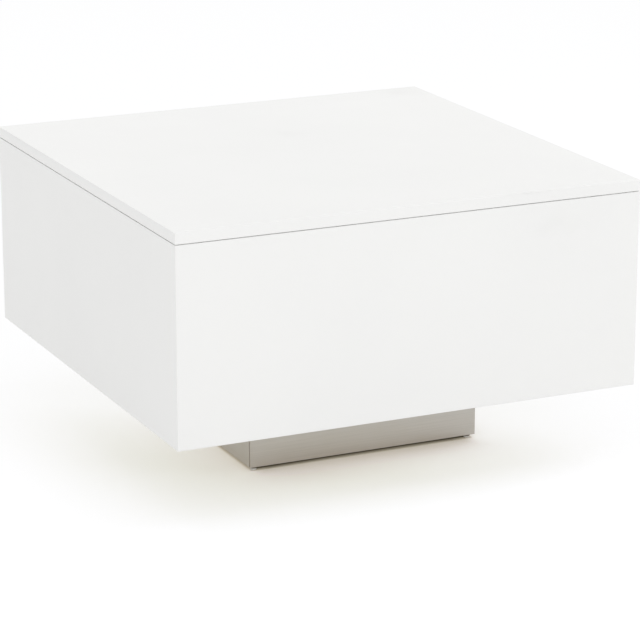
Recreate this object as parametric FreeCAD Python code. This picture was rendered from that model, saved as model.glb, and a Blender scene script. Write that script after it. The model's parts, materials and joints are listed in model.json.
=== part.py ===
"""Square white coffee table: a closed box of lacquered boards on a set-back, metal-faced plinth.

Millimetres, +Z up. The origin is on the floor under the middle of the table, and the front faces -Y.
"""
import FreeCAD, Part
import math
import os

from FreeCAD import Placement, Rotation, Vector

# Driving dimensions of the table
TABLE_SIDE = 800.0  # width and depth of the box
BODY_HEIGHT = 342.0  # lower edge of the sides to the table top
PLINTH_SHOWN = 111.5  # plinth seen below the sides
GLIDE_HEIGHT = 6.5  # glides keep the plinth off the floor
BOARD = 18.0  # lacquered boards and plinth boards
BOTTOM_BOARD = 16.0  # bottom panel
PLINTH_BOARD_LENGTH = 405.0  # all four plinth boards are cut to one length
SHEET = 1.0  # metal facing of the plinth

# Edges and joints of the lacquered boards
EASED_EDGE = 1.5  # radius of the outer edges
FINE_EDGE = 0.6  # radius of the edges at the seam and at the foot of the sides
GROOVE_HEIGHT = 1.2  # shadow groove that shows as the seam under the top
GROOVE_DEPTH = 4.0
BOTTOM_RECESS = 5.0  # the bottom panel sits this far above the sides' lower edge
BOTTOM_PLAY = 1.0  # gap between the bottom panel and the sides

# Timber inside the box and the plinth
CORNER_BLOCK = 30.0
CORNER_BLOCK_ARRIS = 4.0  # outer arris cut back clear of the glue in the mitre
CORNER_BLOCK_GAP = 5.0  # the posts stop short of the top
CLEAT = 20.0
CLEAT_PLAY = 1.0
PLINTH_BLOCK = 25.0
PLINTH_BLOCK_LOW = 20.0
PLINTH_BLOCK_HIGH = 110.0
PLINTH_BOARD_ARRIS = 1.0  # lower outer arris, clear of the fold in the metal

# Metal facing
FOLD_RADIUS = 0.4  # outside of the grooved fold at the lower edge
FACING_JOINT = 2.0  # open joint between the sheets at the plinth's corners
FLANGE_PLAY = 0.5

# Cam fittings: a disc turned in a blind bore draws down the ball end of a bolt
CAM_BORE_RADIUS = 7.5
CAM_PLAY = 0.1
CAM_HEIGHT = 13.5
CAM_BORE_DEPTH = 13.7
CAM_SETBACK = 24.0  # board edge to the middle of the disc
CAM_POCKET_RADIUS = 4.9
CAM_POCKET_OFFSET = 0.3  # the pocket is eccentric, and that draws the ball in
CAM_POCKET_HALF = 3.8
CAM_NECK_HALF = 2.2
CAM_MOUTH_RADIUS = 3.8
CAM_DRIVER_LENGTH = 9.0
CAM_DRIVER_WIDTH = 1.8
CAM_DRIVER_DEPTH = 3.8
CAM_ARROW_TIP = 6.9  # sunk arrow on the disc's face, measured from the middle
CAM_ARROW_BASE = 5.1
CAM_ARROW_HALF = 1.4
CAM_ARROW_DEPTH = 0.5
BOLT_BALL_RADIUS = 3.5
BOLT_BALL_AT = 1.0
BOLT_BALL_FLAT = 2.6  # flat end of the ball, from its middle
BOLT_NECK_RADIUS = 2.0
BOLT_NECK_END = 8.4
BOLT_SHANK_RADIUS = 3.5
BOLT_BORE_RADIUS = 4.0
BOLT_COLLAR_RADIUS = 3.9
BOLT_COLLAR = 2.0
BOLT_THREAD_RADIUS = 2.5
BOLT_THREAD = 11.0
TOP_CAM_OUT = 220.0  # discs, either side of the middle of each side
PLINTH_CAM_OUT = 120.0

# Dowels
DOWEL_RADIUS = 4.0
DOWEL_LENGTH = 30.0
DOWEL_CHAMFER = 1.0
TOP_DOWEL_IN_TOP = 11.0
TOP_DOWEL_OUT = 330.0
PLINTH_DOWEL_IN_BOTTOM = 10.0
PLINTH_DOWEL_OUT = 100.0

# Countersunk wood screws
SCREW_RADIUS = 2.0
SCREW_HEAD_RADIUS = 4.0
SCREW_HEAD_RIM = 0.4
SCREW_POINT = 4.0
SCREW_POINT_RADIUS = 0.4
SCREW_CROSS = 4.4
SCREW_CROSS_WIDTH = 1.0
SCREW_CROSS_DEPTH = 2.0
BLOCK_SCREW = 40.0
BLOCK_SCREW_FRONT_HEIGHTS = (190.0, 370.0)
BLOCK_SCREW_SIDE_HEIGHTS = (225.0, 335.0)
CLEAT_SCREW = 30.0
CLEAT_SCREW_PLACES = (-250.0, 0.0, 250.0)
BOTTOM_SCREW = 30.0
BOTTOM_SCREW_PLACES = (-310.0, -125.0, 125.0, 310.0)
PLINTH_SCREW = 38.0
PLINTH_SCREW_FRONT_HEIGHT = 85.0
PLINTH_SCREW_SIDE_HEIGHT = 45.0

# Glides: a plastic cup nailed to the plinth, with a felt sole in it
GLIDE_RADIUS = 5.5
GLIDE_RIM = 3.0  # the cup's rim is this far off the floor
GLIDE_EDGE = 0.4
GLIDE_INSET = 9.0  # from the end of the plinth board
FELT_RADIUS = 4.8
FELT_HEIGHT = 3.7
FELT_EDGE = 0.5
NAIL_HEAD_RADIUS = 3.0
NAIL_HEAD = 1.0  # thickness of the nail's head, just above the felt
NAIL_RADIUS = 1.2
NAIL_POINT = 3.0
NAIL_POINT_RADIUS = 0.2
NAIL_TOP = 23.0

# Small allowances for finding edges and for cuts that pass right through
EDGE_LEVEL_PLAY = 1e-4
UPRIGHT_SHARE = 0.99  # an upright edge rises by nearly its whole length
EDGE_SEARCH = 1.0
CUT_PAST = 1.0

# Levels and faces that follow from the driving dimensions
BODY_FOOT = GLIDE_HEIGHT + PLINTH_SHOWN
TABLE_TOP = BODY_FOOT + BODY_HEIGHT
TOP_UNDERSIDE = TABLE_TOP - BOARD
BOTTOM_UNDERSIDE = BODY_FOOT + BOTTOM_RECESS
BOTTOM_UPPER = BOTTOM_UNDERSIDE + BOTTOM_BOARD
PLINTH_BOARD_FOOT = GLIDE_HEIGHT + SHEET
OUTER = TABLE_SIDE / 2
INNER = OUTER - BOARD
PLINTH_SIDE_FACE = PLINTH_BOARD_LENGTH / 2
PLINTH_SIDE_INNER = PLINTH_SIDE_FACE - BOARD
PLINTH_END_INNER = PLINTH_BOARD_LENGTH / 2
PLINTH_END_FACE = PLINTH_END_INNER + BOARD
FLANGE_DEPTH = BOARD + SHEET

UP = Vector(0, 0, 1)
CENTRE = Vector(0, 0, 0)
QUARTER_TURN = 90
FULL_TURN = 4 * QUARTER_TURN
HALF_RIGHT_ANGLE = math.radians(45)
MM3_PER_CM3 = 1000
SIDES = ("front", "right", "back", "left")
CAM_ENDS = {
    "front": ("left", "right"),
    "right": ("front", "back"),
    "back": ("right", "left"),
    "left": ("back", "front"),
}
CORNERS = {
    "front_left": (-1, -1),
    "front_right": (1, -1),
    "back_right": (1, 1),
    "back_left": (-1, 1),
}


def box(corner, opposite):
    """A square-edged block between two opposite corners, given in any order."""
    low = Vector(*[min(a, b) for a, b in zip(corner, opposite)])
    high = Vector(*[max(a, b) for a, b in zip(corner, opposite)])
    size = high - low
    return Part.makeBox(size.x, size.y, size.z, low)


def turned_form(profile):
    """A solid turned about +Z from a closed outline of (radius, height) points."""
    points = [Vector(radius, 0, height) for radius, height in profile]
    return Part.Face(Part.makePolygon(points + points[:1])).revolve(CENTRE, UP, FULL_TURN)


def set_at(form, point, direction):
    """A copy of a form made along +Z, set at a point and aimed along a direction."""
    placed = form.copy()
    placed.Placement = Placement(Vector(*point), Rotation(UP, Vector(*direction)))
    return placed


def quarter(form, turns):
    """A copy of a form turned about the upright middle line of the table by quarter turns."""
    return form.rotated(CENTRE, UP, QUARTER_TURN * turns)


def around(forms):
    """The same forms at all four sides of the table."""
    return [quarter(form, turns) for turns in range(len(SIDES)) for form in forms]


def drilled(board, forms):
    """The board with a hole for each form that reaches into it."""
    near = [form for form in forms if form.BoundBox.intersect(board.BoundBox)]
    return board.cut(near).Solids[0]


def level_edges(shape, height):
    """The edges of a shape that lie at one height."""
    return [
        edge
        for edge in shape.Edges
        if abs(edge.BoundBox.ZMin - height) < EDGE_LEVEL_PLAY
        and abs(edge.BoundBox.ZMax - height) < EDGE_LEVEL_PLAY
    ]


def upright_edges(shape):
    """The straight upright edges of a shape."""
    return [edge for edge in shape.Edges if edge.BoundBox.ZLength > UPRIGHT_SHARE * edge.Length]


# Fasteners
def screw_form(length):
    """The space that a countersunk screw fills, its head flush at the origin and its point along +Z."""
    cone = SCREW_HEAD_RADIUS - SCREW_RADIUS
    return turned_form([
        (0, 0),
        (SCREW_HEAD_RADIUS, 0),
        (SCREW_HEAD_RADIUS, SCREW_HEAD_RIM),
        (SCREW_RADIUS, SCREW_HEAD_RIM + cone),
        (SCREW_RADIUS, length - SCREW_POINT),
        (SCREW_POINT_RADIUS, length),
        (0, length),
    ])


def screw(length):
    """A countersunk wood screw with a cross recess."""
    long = SCREW_CROSS / 2
    short = SCREW_CROSS_WIDTH / 2
    one_way = box((-long, -short, 0), (long, short, SCREW_CROSS_DEPTH))
    other_way = box((-short, -long, 0), (short, long, SCREW_CROSS_DEPTH))
    return screw_form(length).cut([one_way, other_way]).Solids[0]


def dowel():
    """A round wooden dowel along +Z with chamfered ends."""
    nose = DOWEL_RADIUS - DOWEL_CHAMFER
    return turned_form([
        (0, 0),
        (nose, 0),
        (DOWEL_RADIUS, DOWEL_CHAMFER),
        (DOWEL_RADIUS, DOWEL_LENGTH - DOWEL_CHAMFER),
        (nose, DOWEL_LENGTH),
        (0, DOWEL_LENGTH),
    ])


def nail():
    """The steel nail of a glide, at its height over the floor, with its head in the plastic."""
    head_top = FELT_HEIGHT + NAIL_HEAD
    return turned_form([
        (0, FELT_HEIGHT),
        (NAIL_HEAD_RADIUS, FELT_HEIGHT),
        (NAIL_HEAD_RADIUS, head_top),
        (NAIL_RADIUS, head_top),
        (NAIL_RADIUS, NAIL_TOP - NAIL_POINT),
        (NAIL_POINT_RADIUS, NAIL_TOP),
        (0, NAIL_TOP),
    ])


# Cam fittings. In their own frame +Z points out of the board's face and +X to the board's edge.
def cam_arrow():
    """The arrow on the disc's face. It points to the mouth, so to the bolt when the disc is open."""
    tip = Vector(-CAM_ARROW_TIP, 0, 0)
    left = Vector(-CAM_ARROW_BASE, -CAM_ARROW_HALF, 0)
    right = Vector(-CAM_ARROW_BASE, CAM_ARROW_HALF, 0)
    outline = Part.makePolygon([tip, left, right, tip])
    return Part.Face(outline).extrude(Vector(0, 0, -CAM_ARROW_DEPTH))


def cam_disc():
    """The disc, locked: the ball sits in its pocket, and the neck slot runs half way round to the mouth."""
    radius = CAM_BORE_RADIUS - CAM_PLAY
    middle = -BOARD / 2
    reach = CAM_BORE_RADIUS + CUT_PAST
    disc = Part.makeCylinder(radius, CAM_HEIGHT, Vector(0, 0, -CAM_HEIGHT))
    pocket_foot = Vector(-CAM_POCKET_OFFSET, 0, middle - CAM_POCKET_HALF)
    pocket = Part.makeCylinder(CAM_POCKET_RADIUS, 2 * CAM_POCKET_HALF, pocket_foot)
    neck_slot = box((-reach, -reach, middle - CAM_NECK_HALF), (reach, 0, middle + CAM_NECK_HALF))
    neck_end = Part.makeCylinder(CAM_NECK_HALF, reach, Vector(0, 0, middle), Vector(1, 0, 0))
    mouth = Part.makeCylinder(CAM_MOUTH_RADIUS, reach, Vector(0, 0, middle), Vector(-1, 0, 0))
    long = CAM_DRIVER_LENGTH / 2
    short = CAM_DRIVER_WIDTH / 2
    one_way = box((-long, -short, -CAM_DRIVER_DEPTH), (long, short, 0))
    other_way = box((-short, -long, -CAM_DRIVER_DEPTH), (short, long, 0))
    cuts = [pocket, neck_slot, neck_end, mouth, one_way, other_way, cam_arrow()]
    return disc.cut(cuts).Solids[0]


def cam_bore():
    """What is bored out of a board for one fitting: the disc's blind bore and the bolt's bore."""
    disc_bore = Part.makeCylinder(CAM_BORE_RADIUS, CAM_BORE_DEPTH, Vector(0, 0, -CAM_BORE_DEPTH))
    bolt_bore = Part.makeCylinder(
        BOLT_BORE_RADIUS, CAM_SETBACK, Vector(0, 0, -BOARD / 2), Vector(1, 0, 0)
    )
    return disc_bore.fuse(bolt_bore)


def cam_bolt():
    """The bolt: a ball end in the disc, a neck, a shank with a collar, and a thread in the other board."""
    flat_radius = math.sqrt(BOLT_BALL_RADIUS**2 - BOLT_BALL_FLAT**2)
    neck_start = BOLT_BALL_AT + math.sqrt(BOLT_BALL_RADIUS**2 - BOLT_NECK_RADIUS**2)
    end = BOLT_BALL_AT - BOLT_BALL_FLAT
    shank_start = BOLT_NECK_END + BOLT_SHANK_RADIUS - BOLT_NECK_RADIUS
    collar_start = CAM_SETBACK - BOLT_COLLAR
    outline = [
        Vector(BOLT_NECK_RADIUS, 0, neck_start),
        Vector(BOLT_NECK_RADIUS, 0, BOLT_NECK_END),
        Vector(BOLT_SHANK_RADIUS, 0, shank_start),
        Vector(BOLT_SHANK_RADIUS, 0, collar_start),
        Vector(BOLT_COLLAR_RADIUS, 0, collar_start),
        Vector(BOLT_COLLAR_RADIUS, 0, CAM_SETBACK),
        Vector(BOLT_THREAD_RADIUS, 0, CAM_SETBACK),
        Vector(BOLT_THREAD_RADIUS, 0, CAM_SETBACK + BOLT_THREAD),
        Vector(0, 0, CAM_SETBACK + BOLT_THREAD),
        Vector(0, 0, end),
        Vector(flat_radius, 0, end),
    ]
    equator = Vector(BOLT_BALL_RADIUS, 0, BOLT_BALL_AT)
    ball = Part.Arc(outline[-1], equator, outline[0]).toShape()
    face = Part.Face(Part.Wire(Part.makePolygon(outline).Edges + [ball]))
    bolt = face.revolve(CENTRE, UP, FULL_TURN)
    return set_at(bolt, (0, 0, -BOARD / 2), (1, 0, 0))


def at_cam(form, along, inner_face, height, turns):
    """A cam fitting's form in a front board, then turned to its side of the table."""
    placed = form.copy()
    rotation = Rotation(UP, Vector(1, 0, 0), Vector(0, 1, 0), "XYZ")
    placed.Placement = Placement(Vector(along, inner_face, height), rotation) * form.Placement
    return quarter(placed, turns)


def top_cams(form):
    """One form at each of the eight fittings under the top, by name."""
    height = TOP_UNDERSIDE - CAM_SETBACK
    placed = {}
    for turns, side in enumerate(SIDES):
        for along, end in zip((-TOP_CAM_OUT, TOP_CAM_OUT), CAM_ENDS[side]):
            placed["cam_" + side + "_" + end] = at_cam(form, along, -INNER, height, turns)
    return placed


def plinth_cams(form):
    """One form at each of the four fittings in the plinth's front and back boards, by name."""
    height = BOTTOM_UNDERSIDE - CAM_SETBACK
    placed = {}
    for turns, side in ((0, "front"), (2, "back")):
        for along, end in zip((-PLINTH_CAM_OUT, PLINTH_CAM_OUT), CAM_ENDS[side]):
            name = "plinth_cam_" + side + "_" + end
            placed[name] = at_cam(form, along, -PLINTH_END_INNER, height, turns)
    return placed


# Where the fasteners go
def corner_block_screws(form):
    """Screws through each corner post into the two sides that it joins."""
    middle = -INNER + CORNER_BLOCK / 2
    face = -INNER + CORNER_BLOCK
    front = [set_at(form, (middle, face, z), (0, -1, 0)) for z in BLOCK_SCREW_FRONT_HEIGHTS]
    side = [set_at(form, (face, middle, z), (-1, 0, 0)) for z in BLOCK_SCREW_SIDE_HEIGHTS]
    return around(front + side)


def cleat_screws(form):
    """Screws through each cleat into its side."""
    face = -INNER + CLEAT
    height = BOTTOM_UPPER + CLEAT / 2
    return around([set_at(form, (x, face, height), (0, -1, 0)) for x in CLEAT_SCREW_PLACES])


def bottom_panel_screws(form):
    """Screws up through the bottom panel into the cleats."""
    line = -INNER + CLEAT / 2
    return around([set_at(form, (x, line, BOTTOM_UNDERSIDE), (0, 0, 1)) for x in BOTTOM_SCREW_PLACES])


def plinth_block_screws(form):
    """Screws through each plinth block into the two boards that it joins."""
    screws = []
    for x, y in CORNERS.values():
        across = (PLINTH_SIDE_INNER - PLINTH_BLOCK / 2, PLINTH_END_INNER - PLINTH_BLOCK)
        along = (PLINTH_SIDE_INNER - PLINTH_BLOCK, PLINTH_END_INNER - PLINTH_BLOCK / 2)
        end_point = (x * across[0], y * across[1], PLINTH_SCREW_FRONT_HEIGHT)
        side_point = (x * along[0], y * along[1], PLINTH_SCREW_SIDE_HEIGHT)
        screws.append(set_at(form, end_point, (0, y, 0)))
        screws.append(set_at(form, side_point, (x, 0, 0)))
    return screws


def top_dowels():
    """Dowels that locate the top on the four sides."""
    line = -(INNER + OUTER) / 2
    foot = TOP_UNDERSIDE + TOP_DOWEL_IN_TOP - DOWEL_LENGTH
    return around([set_at(dowel(), (x, line, foot), (0, 0, 1)) for x in (-TOP_DOWEL_OUT, TOP_DOWEL_OUT)])


def plinth_dowels():
    """Dowels that locate the plinth's side boards under the bottom panel."""
    line = (PLINTH_SIDE_FACE + PLINTH_SIDE_INNER) / 2
    foot = BOTTOM_UNDERSIDE + PLINTH_DOWEL_IN_BOTTOM - DOWEL_LENGTH
    places = [(x * line, y * PLINTH_DOWEL_OUT, foot) for x, y in CORNERS.values()]
    return [set_at(dowel(), place, (0, 0, 1)) for place in places]


def glide_place(x, y):
    """The middle of a glide under the end of a front or back plinth board."""
    along = PLINTH_SIDE_FACE - GLIDE_INSET
    across = (PLINTH_END_INNER + PLINTH_END_FACE) / 2
    return Vector(x * along, y * across, 0)


# Boards of the box
def top_panel():
    """The table top, with its outer edges eased."""
    board = box((-OUTER, -OUTER, TOP_UNDERSIDE), (OUTER, OUTER, TABLE_TOP))
    board = board.makeFillet(EASED_EDGE, upright_edges(board) + level_edges(board, TABLE_TOP))
    return board.makeFillet(FINE_EDGE, level_edges(board, TOP_UNDERSIDE))


def front_panel():
    """The front board, mitred at both ends. The other three sides are the same board, turned."""
    straight = OUTER - EASED_EDGE
    tip = straight + EASED_EDGE * math.cos(HALF_RIGHT_ANGLE)
    near = straight + EASED_EDGE * math.sin(HALF_RIGHT_ANGLE / 2)
    far = straight + EASED_EDGE * math.cos(HALF_RIGHT_ANGLE / 2)
    outline = [
        Vector(tip, -tip, BODY_FOOT),
        Vector(INNER, -INNER, BODY_FOOT),
        Vector(-INNER, -INNER, BODY_FOOT),
        Vector(-tip, -tip, BODY_FOOT),
    ]
    left_end = Vector(-straight, -OUTER, BODY_FOOT)
    right_end = Vector(straight, -OUTER, BODY_FOOT)
    left_arc = Part.Arc(outline[-1], Vector(-near, -far, BODY_FOOT), left_end).toShape()
    face_line = Part.makeLine(left_end, right_end)
    right_arc = Part.Arc(right_end, Vector(near, -far, BODY_FOOT), outline[0]).toShape()
    wire = Part.Wire(Part.makePolygon(outline).Edges + [left_arc, face_line, right_arc])
    board = Part.Face(wire).extrude(Vector(0, 0, BODY_HEIGHT - BOARD))
    groove_foot = TOP_UNDERSIDE - GROOVE_HEIGHT
    groove = box((-OUTER, -OUTER, groove_foot), (OUTER, -OUTER + GROOVE_DEPTH, TOP_UNDERSIDE))
    board = board.cut(groove).Solids[0]
    outside = [edge for edge in level_edges(board, BODY_FOOT) if edge.CenterOfMass.y < -tip]
    return board.makeFillet(FINE_EDGE, outside)


def bottom_panel():
    """The panel that closes the box from below."""
    half = INNER - BOTTOM_PLAY
    return box((-half, -half, BOTTOM_UNDERSIDE), (half, half, BOTTOM_UPPER))


def corner_block():
    """The post in the front left corner."""
    inside = -INNER + CORNER_BLOCK
    block = box((-INNER, -INNER, BOTTOM_UPPER), (inside, inside, TOP_UNDERSIDE - CORNER_BLOCK_GAP))
    search = -INNER + EDGE_SEARCH
    arris = [
        edge
        for edge in upright_edges(block)
        if edge.CenterOfMass.x < search and edge.CenterOfMass.y < search
    ]
    return block.makeChamfer(CORNER_BLOCK_ARRIS, arris)


def front_cleat():
    """The batten along the foot of the front, between the corner posts."""
    half = INNER - CORNER_BLOCK - CLEAT_PLAY
    return box((-half, -INNER, BOTTOM_UPPER), (half, -INNER + CLEAT, BOTTOM_UPPER + CLEAT))


# Plinth
def plinth_board(face):
    """A plinth board along the front, with its outer face at a distance from the middle."""
    half = PLINTH_BOARD_LENGTH / 2
    board = box((-half, -face, PLINTH_BOARD_FOOT), (half, -face + BOARD, BOTTOM_UNDERSIDE))
    search = -face + EDGE_SEARCH
    arris = [edge for edge in level_edges(board, PLINTH_BOARD_FOOT) if edge.CenterOfMass.y < search]
    return board.makeChamfer(PLINTH_BOARD_ARRIS, arris)


def plinth_sheet(face, face_length, flange_length):
    """A metal facing along the front: an upright face, and a flange folded under the board.

    The sheet is grooved on the inside before it is folded, so the fold is sharp.
    """
    front = -face - SHEET
    foot = GLIDE_HEIGHT
    half_face = face_length / 2
    half_flange = flange_length / 2
    upright = box((-half_face, front, foot), (half_face, -face, BOTTOM_UNDERSIDE))
    flange = box((-half_flange, front, foot), (half_flange, front + FLANGE_DEPTH, foot + SHEET))
    sheet = upright.fuse(flange).removeSplitter().Solids[0]
    lower_edges = level_edges(sheet, foot)
    fold = [edge for edge in lower_edges if edge.CenterOfMass.y < front + EDGE_LEVEL_PLAY]
    return sheet.makeFillet(FOLD_RADIUS, fold)


def plinth_block(x, y):
    """The block in one corner of the plinth."""
    outer = (x * PLINTH_SIDE_INNER, y * PLINTH_END_INNER, PLINTH_BLOCK_LOW)
    inner = (
        x * (PLINTH_SIDE_INNER - PLINTH_BLOCK),
        y * (PLINTH_END_INNER - PLINTH_BLOCK),
        PLINTH_BLOCK_HIGH,
    )
    return box(outer, inner)


def glide():
    """The plastic cup of a glide, its rim rounded, with a shallow seat for the felt."""
    cup = Part.makeCylinder(GLIDE_RADIUS, GLIDE_HEIGHT - GLIDE_RIM, Vector(0, 0, GLIDE_RIM))
    cup = cup.makeFillet(GLIDE_EDGE, level_edges(cup, GLIDE_RIM))
    return cup.cut(felt()).Solids[0]


def felt():
    """The felt sole of a glide, its lower edge rounded."""
    disc = Part.makeCylinder(FELT_RADIUS, FELT_HEIGHT)
    return disc.makeFillet(FELT_EDGE, level_edges(disc, 0))


def build():
    """All pieces of the table, by node name."""
    pieces = {}

    top_bolts = list(top_cams(cam_bolt()).values())
    plinth_bolts = list(plinth_cams(cam_bolt()).values())
    dowels_in_top = top_dowels()
    dowels_in_plinth = plinth_dowels()
    block_holes = corner_block_screws(screw_form(BLOCK_SCREW))
    cleat_holes = cleat_screws(screw_form(CLEAT_SCREW))
    bottom_holes = bottom_panel_screws(screw_form(BOTTOM_SCREW))
    plinth_holes = plinth_block_screws(screw_form(PLINTH_SCREW))
    glide_nails = [set_at(nail(), glide_place(x, y), (0, 0, 1)) for x, y in CORNERS.values()]

    # The box
    pieces["top_panel"] = drilled(top_panel(), top_bolts + dowels_in_top)
    side_holes = list(top_cams(cam_bore()).values()) + dowels_in_top + block_holes + cleat_holes
    for turns, side in enumerate(SIDES):
        pieces[side + "_panel"] = drilled(quarter(front_panel(), turns), side_holes)
        pieces["cleat_" + side] = drilled(quarter(front_cleat(), turns), cleat_holes + bottom_holes)
    for turns, corner in enumerate(CORNERS):
        pieces["corner_block_" + corner] = drilled(quarter(corner_block(), turns), block_holes)
    bottom_panel_holes = bottom_holes + plinth_bolts + dowels_in_plinth
    pieces["bottom_panel"] = drilled(bottom_panel(), bottom_panel_holes)

    # The plinth: the front and back boards lie over the ends of the side boards
    board_holes = list(plinth_cams(cam_bore()).values()) + dowels_in_plinth + plinth_holes + glide_nails
    end_face = 2 * (PLINTH_SIDE_FACE + SHEET)
    end_flange = 2 * (PLINTH_SIDE_FACE - FLANGE_PLAY)
    side_face = 2 * (PLINTH_END_FACE - FACING_JOINT)
    side_flange = 2 * (PLINTH_END_INNER - FLANGE_PLAY)
    for turns, side in enumerate(SIDES):
        if side in ("front", "back"):
            board = plinth_board(PLINTH_END_FACE)
            sheet = plinth_sheet(PLINTH_END_FACE, end_face, end_flange)
        else:
            board = plinth_board(PLINTH_SIDE_FACE)
            sheet = plinth_sheet(PLINTH_SIDE_FACE, side_face, side_flange)
        pieces["plinth_" + side + "_board"] = drilled(quarter(board, turns), board_holes)
        pieces["plinth_" + side + "_sheet"] = drilled(quarter(sheet, turns), glide_nails)
    for corner, (x, y) in CORNERS.items():
        pieces["plinth_block_" + corner] = drilled(plinth_block(x, y), plinth_holes)
        pieces["glide_" + corner] = drilled(set_at(glide(), glide_place(x, y), (0, 0, 1)), glide_nails)
        pieces["felt_" + corner] = set_at(felt(), glide_place(x, y), (0, 0, 1))

    # Fasteners
    pieces.update(top_cams(cam_disc()))
    pieces.update(plinth_cams(cam_disc()))
    pieces["top_cam_bolts"] = Part.makeCompound(top_bolts)
    pieces["plinth_cam_bolts"] = Part.makeCompound(plinth_bolts)
    pieces["top_dowels"] = Part.makeCompound(dowels_in_top)
    pieces["plinth_dowels"] = Part.makeCompound(dowels_in_plinth)
    pieces["corner_block_screws"] = Part.makeCompound(corner_block_screws(screw(BLOCK_SCREW)))
    pieces["cleat_screws"] = Part.makeCompound(cleat_screws(screw(CLEAT_SCREW)))
    pieces["bottom_panel_screws"] = Part.makeCompound(bottom_panel_screws(screw(BOTTOM_SCREW)))
    pieces["plinth_block_screws"] = Part.makeCompound(plinth_block_screws(screw(PLINTH_SCREW)))
    pieces["glide_nails"] = Part.makeCompound(glide_nails)
    return pieces


def main():
    """Write one file for each piece and print what was made."""
    os.makedirs("parts", exist_ok=True)
    pieces = build()
    for name, shape in pieces.items():
        shape.exportStep("parts/" + name + ".step")
        volume = round(shape.Volume / MM3_PER_CM3, 2)
        print(name, "solids", len(shape.Solids), "valid", shape.isValid(), "cm3", volume)
    whole = Part.makeCompound(list(pieces.values())).BoundBox
    print("pieces", len(pieces))
    print("x", whole.XMin, whole.XMax, "y", whole.YMin, whole.YMax, "z", whole.ZMin, whole.ZMax)


main()
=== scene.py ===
# %% [markdown]
# # A white coffee table on a brushed metal plinth
# The table is a closed box of lacquered boards with a flush top. It stands on a smaller plinth that
# is set back under it and faced in brushed metal. The boards, fittings and screws come in as
# finished solids, already at their real size and place. This lesson dresses them: it gives each
# finish its own procedural material, adds threads and flutes to the fasteners, sets a pale studio
# round the table, and points a camera at it.

import json
import math

import bmesh
import bpy
from mathutils import Matrix, Vector


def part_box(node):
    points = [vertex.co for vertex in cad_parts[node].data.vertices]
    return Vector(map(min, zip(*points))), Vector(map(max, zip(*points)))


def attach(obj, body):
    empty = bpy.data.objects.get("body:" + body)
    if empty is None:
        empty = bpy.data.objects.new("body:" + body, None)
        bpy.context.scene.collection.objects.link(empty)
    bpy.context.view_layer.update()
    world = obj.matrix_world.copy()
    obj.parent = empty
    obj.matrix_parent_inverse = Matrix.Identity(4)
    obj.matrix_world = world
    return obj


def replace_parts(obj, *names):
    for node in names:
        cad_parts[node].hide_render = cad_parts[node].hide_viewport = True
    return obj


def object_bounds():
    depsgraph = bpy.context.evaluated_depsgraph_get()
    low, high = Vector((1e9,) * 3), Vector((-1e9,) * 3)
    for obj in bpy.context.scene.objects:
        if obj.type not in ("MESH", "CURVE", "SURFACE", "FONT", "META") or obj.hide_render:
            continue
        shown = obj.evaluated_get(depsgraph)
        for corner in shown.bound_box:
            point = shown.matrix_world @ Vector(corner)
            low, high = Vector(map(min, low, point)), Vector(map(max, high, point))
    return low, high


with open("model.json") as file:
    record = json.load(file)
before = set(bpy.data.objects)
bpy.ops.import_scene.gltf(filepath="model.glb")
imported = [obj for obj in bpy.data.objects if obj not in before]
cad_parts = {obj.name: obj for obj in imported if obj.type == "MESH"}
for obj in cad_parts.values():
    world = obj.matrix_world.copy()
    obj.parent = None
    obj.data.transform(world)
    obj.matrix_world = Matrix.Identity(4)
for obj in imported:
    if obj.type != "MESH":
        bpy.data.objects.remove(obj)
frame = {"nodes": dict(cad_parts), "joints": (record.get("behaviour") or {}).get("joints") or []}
pieces = frame["nodes"]
solid_low, solid_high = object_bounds()
print("pieces", len(pieces))
print("overall size in metres", [round(v, 3) for v in solid_high - solid_low])

# %% [markdown]
# ## How a finish is built
# Every finish below is a small network of shader nodes. Building one by hand in the Shader Editor
# is a matter of adding nodes, typing numbers and dragging wires. In a script the same three steps
# fit in two helpers: one types numbers into a node's inputs or wires them, and the other adds a
# node to be filled in that way. Nearly all finishes here then start from one shader.

# %% Add and wire shader nodes
def set_inputs(tree, node, inputs):
    """Wire each input that is given a socket, and set the others."""
    for name, value in inputs.items():
        if isinstance(value, bpy.types.NodeSocket):
            tree.links.new(value, node.inputs[name])
        else:
            node.inputs[name].default_value = value


def add_node(tree, kind, options=None, inputs=None):
    """Add a shader node with its options and inputs."""
    node = tree.nodes.new("ShaderNode" + kind)
    for option, value in (options or {}).items():
        setattr(node, option, value)
    set_inputs(tree, node, inputs or {})
    return node


def empty_finish(name):
    """A new material with an empty network."""
    material = bpy.data.materials.new(name)
    material.use_nodes = True
    material.node_tree.nodes.clear()
    return material, material.node_tree


def start_finish(name):
    """A new material that holds one shader, ready to be wired."""
    material, tree = empty_finish(name)
    shader = add_node(tree, "BsdfPrincipled")
    add_node(tree, "OutputMaterial", inputs={"Surface": shader.outputs["BSDF"]})
    return material, tree, shader


print("finishes are built in Blender", bpy.app.version_string)

# %% [markdown]
# ## Raw fibreboard
# The boards that the metal is fixed to are wood fibre, pressed with glue into a brown felt with a
# few darker flecks of bark. Nobody sees them except from below, so they are not painted. The fibres
# are far too fine to model, and a picture of them would repeat, so they are a noise pattern. It
# fills space and the board is cut out of it, as grain fills a real plank. The pieces keep their
# place in their vertices, so object coordinates are metres in the table's own frame, and a scale of
# 500 means features about two millimetres across. No unwrapping is needed. All the other finishes
# use such patterns too.

# %% A felt of pressed fibres
FIBRE_PALE = (0.47, 0.33, 0.205)
FIBRE_BROWN = (0.36, 0.235, 0.135)
FIBRE_DARK = (0.20, 0.12, 0.065)
FIBRES_PER_METRE = 1300
FIBRE_LIE = (1.0, 1.0, 0.6)


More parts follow.
